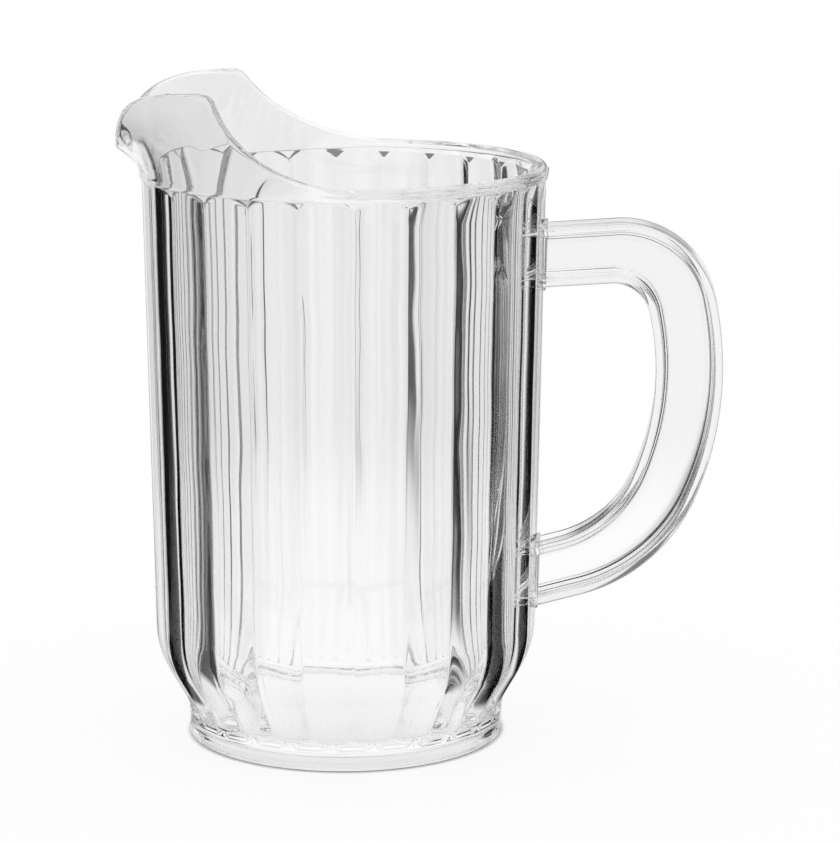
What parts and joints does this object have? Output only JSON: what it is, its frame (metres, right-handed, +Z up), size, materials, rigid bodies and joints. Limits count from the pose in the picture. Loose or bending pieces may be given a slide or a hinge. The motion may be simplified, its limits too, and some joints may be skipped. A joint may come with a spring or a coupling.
{
  "type": "beer pitcher",
  "caption": "Clear plastic beer pitcher with a fluted straight-sided body, a drawn-in foot, a raised pouring spout and an I-section handle.",
  "frame": {"origin": "centre of the foot ring's lower face, on the body's axis, on the plane the pitcher stands on", "axes": "+Z up along the body's axis, +X towards the handle, -X towards the spout, +Y to the left when seen from the spout side"},
  "size_m": [0.1937, 0.1306, 0.2117],
  "materials": {
    "clear_plastic": "clear, colourless, polished"
  },
  "bodies": {
    "root": {"barrel": "clear_plastic", "base_taper": "clear_plastic", "floor": "clear_plastic", "foot_ring": "clear_plastic", "rear_collar": "clear_plastic", "spout": "clear_plastic", "rim_band": "clear_plastic", "upper_root_pad": "clear_plastic", "lower_root_pad": "clear_plastic", "handle_web": "clear_plastic", "handle_outer_flange": "clear_plastic", "handle_inner_flange": "clear_plastic"}
  },
  "joints": []
}
